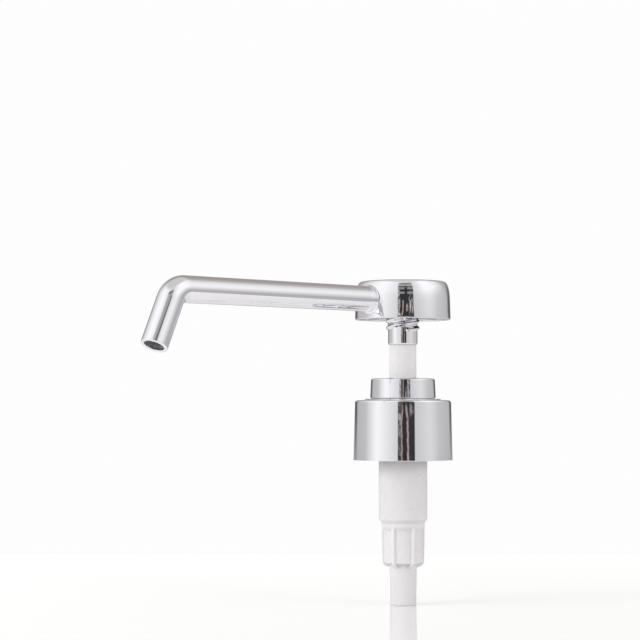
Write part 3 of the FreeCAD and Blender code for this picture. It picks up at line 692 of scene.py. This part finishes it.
def rib_sector():
    """One sector's points on a plain circle: angles over the rib, then shares and angles of the way to the next."""
    half = []
    for kind, first, second in rib_profile():
        if kind == "fillet":
            half.append(-(RIB_HALF + RIB_FILLET * (1 - first) + 0.02 * (1 - second)))
        elif kind == "side":
            half.append(-(RIB_HALF - 0.01))
        elif kind == "corner":
            half.append(-(RIB_HALF - 0.02 - RIB_CORNER * (1 - second) - 0.01 * first))
        else:
            half.append(-(RIB_HALF - RIB_CORNER) * first)
    lateral = half + [0.0] + [-y for y in reversed(half)]
    over = [math.asin(y / 6.8) for y in lateral]
    shares = [(step + 1) / 16 for step in range(15)]
    start, end = over[-1], TURN / RIBS + over[0]
    return over, shares, [start + (end - start) * share for share in shares]


OVER, SHARES, BETWEEN = rib_sector()


def rib_ring(chamber, rib):
    """Closed ring of points round the chamber with its ribs out to the given radius.

    On a low rib the fillets and corners shrink with it, and the ring passes into a plain circle.
    """
    height = max(rib - chamber, 0.0)
    fillet = min(RIB_FILLET, height * 0.45)
    corner = min(RIB_CORNER, height * 0.45)
    half = []
    for kind, first, second in rib_profile():
        if kind == "fillet":
            half.append((-(RIB_HALF + fillet * (1 - first)), chamber + fillet * (1 - second)))
        elif kind == "side":
            half.append((-RIB_HALF, (chamber + fillet + rib - corner) / 2))
        elif kind == "corner":
            half.append((-(RIB_HALF - corner * (1 - second)), rib - corner * (1 - first)))
        else:
            half.append((-(RIB_HALF - corner) * first, rib))
    over = half + [(0.0, rib)] + [(-y, r) for y, r in reversed(half)]
    first_angle = math.asin(over[0][0] / chamber)
    start, end = -first_angle, TURN / RIBS + first_angle
    blend = min(height / 0.25, 1.0)
    ring = []
    for index in range(RIBS):
        turn = index * TURN / RIBS
        for (y, radius), angle in zip(over, OVER):
            free = math.asin(max(-1.0, min(1.0, y / radius)))
            mixed = angle * (1 - blend) + free * blend
            ring.append((radius * math.cos(turn + mixed), radius * math.sin(turn + mixed)))
        for share, angle in zip(SHARES, BETWEEN):
            mixed = angle * (1 - blend) + (start + (end - start) * share) * blend
            ring.append((chamber * math.cos(turn + mixed), chamber * math.sin(turn + mixed)))
    return ring


def housing_form():
    angles = np.array([index * TURN / RIBS + angle for index in range(RIBS) for angle in OVER + BETWEEN])
    tube, bore, ring, ring_level, chamber = 8.34, 7.4, 7.4, -38.25, 4.9
    form = Form()
    form.lathe(rounded([
        (ring, ring_level), (ring, -37.15, 0.5), (tube, -35.95, 0.6), (tube, 1.5, 0.2), (12.4, 1.5, 0.15),
        (12.4, 3.2, 0.15), (tube, 3.2, 0.15), (tube, 6.95), (8.59, 7.2), (8.59, 7.8), (tube, 8.05), (tube, 10.3),
        (8.1, 10.55), (7.6, 10.55), (bore, 10.3), (bore, -36.0, 0.4), (chamber, -36.0, 0.3), (chamber, -44.5),
        (3.4, -44.5), (3.4, -50.7), (1.6, -52.5), (1.6, -53.35), (3.5, -53.35), (3.5, -65.0), (3.62, -65.35),
        (4.3, -65.35, 0.1), (4.45, -65.1, 0.2), (4.68, -52.4),
    ]), angles)

    # Ribs swell out of the socket below the chamber's ledge, turn up in a rounded corner, and run up to the ring
    root, tail, foot, ledge = 4.68, -52.4, -52.3, -50.9
    low, corner = 5.02, 2.2
    lower_wall, wall, wall_edge = 6.1, 6.5, 0.4
    swell_level = -40.0
    rows = []

    def add_row(chamber, rib, level):
        rows.append([(x, y, level) for x, y in rib_ring(chamber, rib)])

    def corner_reach(level):
        return low + corner * math.sqrt(1 - (1 - (level - foot) / corner) ** 2)

    add_row(root, root, tail)
    for share in np.linspace(0, 1, 5)[1:]:
        add_row(root - 0.005, root + share * (low - root), tail + share * (foot - tail))
    turns = np.linspace(0, math.pi / 2, 25)[1:]
    path = [(low + corner * math.sin(turn), foot + corner * (1 - math.cos(turn))) for turn in turns]
    for rib, level in path:
        if level < ledge - 0.75:
            add_row(root - 0.01, rib, level)
    for chamber, level in ((root - 0.01, ledge - 0.65), (5.2, ledge - 0.4), (lower_wall, ledge)):
        add_row(chamber, corner_reach(level), level)
    for step in range(1, 6):
        turn = step / 5 * math.pi / 2
        level = ledge + wall_edge * (1 - math.cos(turn))
        add_row(lower_wall + wall_edge * math.sin(turn), corner_reach(level), level)
    for rib, level in path:
        if level > ledge + wall_edge:
            add_row(wall, rib, level)
    start = foot + corner
    for share in np.linspace(0, 1, 15)[1:]:
        add_row(wall, 7.22 + 0.18 * share, start + share * (swell_level - start))
    for share in np.linspace(0, 1, 9)[1:]:
        add_row(wall + 0.87 * share * share * (3 - 2 * share), ring, swell_level + 1.7 * share)
    form.grid(np.array(rows))
    circle = np.stack([ring * np.cos(angles), ring * np.sin(angles), np.full(len(angles), ring_level)], axis=-1)
    form.grid(np.array([rows[-1], circle]))
    return form.moved(turned(RIB_TURN))


def vent_cutter():
    """Rod through the housing's wall that leaves its two air holes."""
    radius, reach, level = 0.6, 12.0, -10.45
    form = Form().lathe(np.array([(0, -reach), (radius, -reach), (radius, reach), (0, reach)]), even_angles(48))
    form.moved(lambda p: np.stack([p[:, 0], -p[:, 2], p[:, 1] + level], axis=-1))
    return form.moved(turned(RIB_TURN))


# Pieces

add_piece("head_shell", head_form(), "head", chrome, ["actuator_head"])
# The webs and the lining carry the drum's inside colour, which is partly painted shade
add_piece("head_webs", head_webs_form(), "head", shaded_hollow)
add_piece("drum_lining", drum_lining_form(), "head", shaded_hollow)
add_piece("spout_neck", spout_neck_form(), "head", chrome)
add_piece("spout", spout_form(), "head", chrome, ["spout_tube"])
add_piece("spout_lining", spout_lining_form(), "head", bore)
add_piece("stem_tube", stem_form(), "head", white, ["stem"])
add_piece("outlet_valve_ball", ball_form(2.0, 34.728), "outlet_valve", ball_steel, ["outlet_ball"])
add_piece("piston_seal", piston_form(), "plunger", seal, ["piston"])
add_piece("insert_plug", insert_form(), "head", white, ["piston_insert"])
spring = add_piece("coil_spring", spring_form(), "pump_body", spring_steel, ["return_spring"])
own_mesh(spring)
add_piece("lock_nut_body", lock_nut_form(), "pump_body", white, ["lock_nut"])
cover = shell_form(6.5, (11.04, 12.25), (11.36, 5.37), 0.5, 0.6, 0.4)
add_piece("lock_nut_shell", cover, "pump_body", chrome, ["lock_nut_cover"])
rim = [(13.5, 4.85, 0.3), (13.1, 5.28, 0.2), (9.9, 5.28, 0.1)]
shell = shell_form(9.6, (16.62, 4.85), (17.06, -15.8), 0.5, 0.8, 0.18, rim)
add_piece("collar_shell", shell, "closure", chrome, ["closure_shell"])
add_piece("collar_cap", closure_cap_form(), "closure", white, ["closure_cap"])
add_piece("rim_gasket", gasket_form(), "pump_body", foam, ["bottle_gasket"])
add_piece("housing", housing_form(), "pump_body", barrel, ["pump_housing"], vent_cutter())
add_piece("inlet_valve_ball", ball_form(2.5, -50.564), "inlet_valve", ball_steel, ["inlet_ball"])

# Camera

AHEAD = Vector((0.6843, 0.7292, 0)).normalized()
RIGHT = Vector((AHEAD.y, -AHEAD.x, 0))
pitch = math.radians(2.5909)
camera_data = bpy.data.cameras.new("camera")
camera_data.lens = 112.5
camera_data.sensor_width = 36
camera_data.clip_start = 0.01
camera = bpy.data.objects.new("camera", camera_data)
bpy.context.scene.collection.objects.link(camera)
camera.location = (-0.4925, -0.4831, 0.001255)
look = AHEAD * math.cos(pitch) + Vector((0, 0, math.sin(pitch)))
camera.rotation_euler = look.to_track_quat("-Z", "Y").to_euler()
bpy.context.scene.camera = camera

# Table top: a glossy white board, with its near, right and far edges about a quarter of a metre from the pump


def add_table():
    material, tree, shader = new_material("table_top")
    point = object_point(tree)
    shader.inputs["Base Color"].default_value = (0.90, 0.90, 0.90, 1)
    shader.inputs["IOR"].default_value = 1.6
    tree.links.new(spread(tree, noise(tree, point, 60, 3), 0.015, 0.03), shader.inputs["Roughness"])
    mesh = bpy.data.meshes.new("table_top")
    left, right, near, far = -0.5, 0.26, -0.28, 0.24
    corners = []
    for across, depth in ((left, near), (right, near), (right, far), (left, far)):
        place = RIGHT * across + AHEAD * depth
        corners.append((place.x, place.y, FLOOR * MM))
    mesh.from_pydata(corners, [], [(0, 1, 2, 3)])
    mesh.materials.append(material)
    table = bpy.data.objects.new("table_top", mesh)
    bpy.context.scene.collection.objects.link(table)


add_table()

# Studio round the pump: walls, a softbox to each side, dark corners behind, and the dark cluttered end with the camera

SOFTBOX = (1.06, 1.06, 1.06)


def studio():
    world = bpy.data.worlds.new("studio")
    bpy.context.scene.world = world
    world.use_nodes = True
    tree = world.node_tree
    tree.nodes.clear()
    direction = add_node(tree, "ShaderNodeTexCoord").outputs["Generated"]

    def along(axis):
        return add_node(tree, "ShaderNodeVectorMath", {0: direction, 1: axis}, operation="DOT_PRODUCT").outputs["Value"]

    def ramp(*values, **settings):
        return map_range(tree, *values, **settings)

    def times(*values):
        result = values[0]
        for value in values[1:]:
            result = math_node(tree, "MULTIPLY", result, value)
        return result

    def plus(*values):
        result = values[0]
        for value in values[1:]:
            result = math_node(tree, "ADD", result, value)
        return result

    def band(value, low, high, soft):
        return times(ramp(value, low - soft, low + soft), ramp(value, high + soft, high - soft))

    def mixed(factor, first, second):
        return mix_node(tree, factor, first, second)

    def less(value, other):
        return math_node(tree, "SUBTRACT", value, other)

    # Azimuth from the camera's end, to the right, and height above the horizon, in degrees
    ahead = along((-AHEAD.x, -AHEAD.y, 0))
    side = along((RIGHT.x, RIGHT.y, 0))
    azimuth = times(math_node(tree, "ARCTAN2", side, ahead), 180 / math.pi)
    height = times(math_node(tree, "ARCSINE", along((0, 0, 1))), 180 / math.pi)
    early = times(ramp(height, 1.0, 3.5, 0, 6), ramp(azimuth, 112, 128), ramp(azimuth, 172, 160))
    place = plus(azimuth, early)
    off = math_node(tree, "ABSOLUTE", place)

    def softbox(room, cover, rise, fall):
        return mixed(times(ramp(place, *rise), ramp(place, *fall), cover), room, SOFTBOX)

    low = mixed(ramp(off, 80, 136), (0.60, 0.60, 0.60), (0.50, 0.50, 0.50))
    low = softbox(low, 0.87, (-100, -68), (-2, -62))
    low = softbox(low, 0.32, (25, 64), (90, 64))
    low = mixed(ramp(off, 136, 147), low, (0.11, 0.11, 0.11))
    low = mixed(ramp(off, 162, 171), low, (1.19, 1.19, 1.19))
    high = mixed(ramp(off, 90, 160), (0.72, 0.72, 0.72), (0.37, 0.345, 0.32))
    high = softbox(high, 1.0, (-140, -65), (5, -50))
    high = softbox(high, 1.0, (25, 55), (125, 75))
    lift = math_node(tree, "DIVIDE", height, plus(ramp(azimuth, 70, 100, 22, 28), ramp(azimuth, 140, 175, 0, -6)))
    room = mixed(ramp(lift, 0, 1, kind="SMOOTHSTEP"), low, high)
    room = mixed(ramp(height, 54, 64), room, (0.65, 0.64, 0.63))
    room = mixed(ramp(height, 0.5, -1.5), room, (0.47, 0.465, 0.485))

    # Place up the dark end, drawn out where the collar, the nut and the head's side each mirror it
    rung = plus(ramp(height, 0.9, 2.8, 0, 60), ramp(height, 2.8, 12, 0, 15))
    rung = plus(rung, ramp(height, 5.4, 6.5, 0, 34), ramp(height, 12, 50, 0, 16))

    def clutter(place_scale, rung_scale, seed, detail=1.0):
        place = {"X": times(azimuth, place_scale), "Y": times(rung, rung_scale), "Z": seed}
        return noise(tree, add_node(tree, "ShaderNodeCombineXYZ", place).outputs[0], 1.0, detail, 0.6)

    zone = times(ramp(azimuth, -15.0, -13.6), ramp(less(azimuth, ramp(height, 2.7, 6.0, 25.3, 23.4)), 0.7, -0.7))
    zone = times(zone, ramp(height, 54, 43), ramp(height, 0.2, 0.9))
    dark = mixed(clutter(0.3, 0.12, 1.0, 3.0), (0.006, 0.006, 0.007), (0.06, 0.06, 0.065))

    # Low on the left a grey frame with bars across it, and a bright rail above it
    foot = ramp(height, 2.25, 2.45)
    frame_left = band(plus(azimuth, ramp(height, 2.8, 4.5, 0, 2.5)), -13.6, -7.0, 0.9)
    bars = ramp(clutter(0.10, 0.26, 7.3, 2.0), 0.44, 0.56)
    dark = mixed(times(frame_left, bars, ramp(height, 1.9, 2.2, 0.36, 0.85)), dark, (0.62, 0.62, 0.64))
    rail = times(band(azimuth, -12.4, -8.4, 0.9), band(height, 5.45, 8.6, 0.1), plus(0.25, bars))
    dark = mixed(rail, dark, (0.46, 0.46, 0.47))

    # Shelves on the right, with a bright post
    shelf = times(band(azimuth, 12.3, 22.6, 1.2), ramp(clutter(0.22, 0.22, 4.1, 2.0), 0.43, 0.57))
    shown = plus(ramp(foot, 0, 1, 0.03, 0.8), ramp(height, 4.5, 4.8, 0, 0.3), ramp(height, 6.5, 8.8, 0, -0.8))
    shelf = times(shelf, shown)
    dark = mixed(shelf, dark, (0.42, 0.41, 0.41))
    post = times(band(azimuth, 14.8, 17.2, 0.7), band(height, 4.75, 6.35, 0.15))
    dark = mixed(post, dark, (0.52, 0.51, 0.51))

    # Two warm uneven edges up the middle
    sway = ramp(clutter(0.0, 0.2, 2.6, 1.0), 0.3, 0.7, -0.9, 0.9)
    swayed = plus(azimuth, sway)
    left_place = plus(swayed, ramp(height, 2.2, 2.5, 0, -1.6), ramp(height, 3.4, 5.2, 0, -1.8))
    right_place = plus(swayed, ramp(height, 2.2, 2.5, 0, 3.6), ramp(height, 3, 5, 0, -2.4))
    left_edge = band(left_place, -6.6, -3.6, 0.8)
    right_edge = band(right_place, 7.0, 11.2, 1.0)
    right_edge = times(right_edge, less(1.0, band(height, 2.8, 4.6, 0.1)), ramp(height, 6.1, 5.7))
    uneven = ramp(clutter(0.05, 0.35, 9.0), 0.3, 0.6, 0.45, 1.0)
    warm = times(math_node(tree, "MAXIMUM", left_edge, right_edge), ramp(height, 6.8, 6.2), uneven)
    dark = mixed(warm, dark, (0.50, 0.37, 0.34))
    dark = mixed(times(band(height, 2.62, 2.85, 0.03), 0.8), dark, (0.03, 0.03, 0.032))

    # Slats above, crossed by a dark post low down
    upper = band(height, 25, 60, 1.5)
    dark = mixed(times(upper, 0.4), dark, (0.25, 0.25, 0.25))
    rows = math_node(tree, "LOGARITHM", math_node(tree, "MAXIMUM", height, 1.0), math.e)
    wave = math_node(tree, "COSINE", math_node(tree, "MULTIPLY_ADD", rows, 13.1, -30.9))
    slat = times(ramp(wave, 0.35, -0.15), ramp(height, 10.0, 11.5), plus(0.55, times(clutter(0.45, 0.5, 5.5), 0.9)))
    slat = times(slat, less(1.0, times(band(azimuth, 2.2, 8.4, 0.8), ramp(height, 31, 25, 0.45, 1.0))))
    dark = mixed(slat, dark, (0.30, 0.295, 0.29))
    dark = mixed(times(slat, upper), dark, (0.46, 0.45, 0.445))
    room = mixed(zone, room, dark)

    path = add_node(tree, "ShaderNodeLightPath")
    seen = mixed(path.outputs["Is Camera Ray"], room, (0.985, 0.985, 0.985))
    shader = add_node(tree, "ShaderNodeBackground", {"Color": seen, "Strength": 1.0})
    output = add_node(tree, "ShaderNodeOutputWorld")
    tree.links.new(shader.outputs[0], output.inputs["Surface"])


def add_lamp(name, azimuth, height, distance, size, power):
    """Soft lamp aimed at the pump. The plating mirrors the studio instead of it."""
    data = bpy.data.lights.new(name, "AREA")
    data.shape = "SQUARE"
    data.size = size
    data.energy = power
    lamp = bpy.data.objects.new(name, data)
    bpy.context.scene.collection.objects.link(lamp)
    turn, rise = math.radians(azimuth), math.radians(height)
    toward = (-AHEAD * math.cos(turn) + RIGHT * math.sin(turn)) * math.cos(rise) + Vector((0, 0, math.sin(rise)))
    lamp.location = toward * distance
    lamp.rotation_euler = toward.to_track_quat("Z", "Y").to_euler()
    lamp.visible_glossy = False
    lamp.visible_camera = False


add_lamp("key_lamp", -62, 18, 0.8, 0.5, 4.2)
add_lamp("fill_lamp", 50, 12, 0.9, 0.5, 3.0)
studio()
bpy.context.scene.view_settings.view_transform = "Standard"
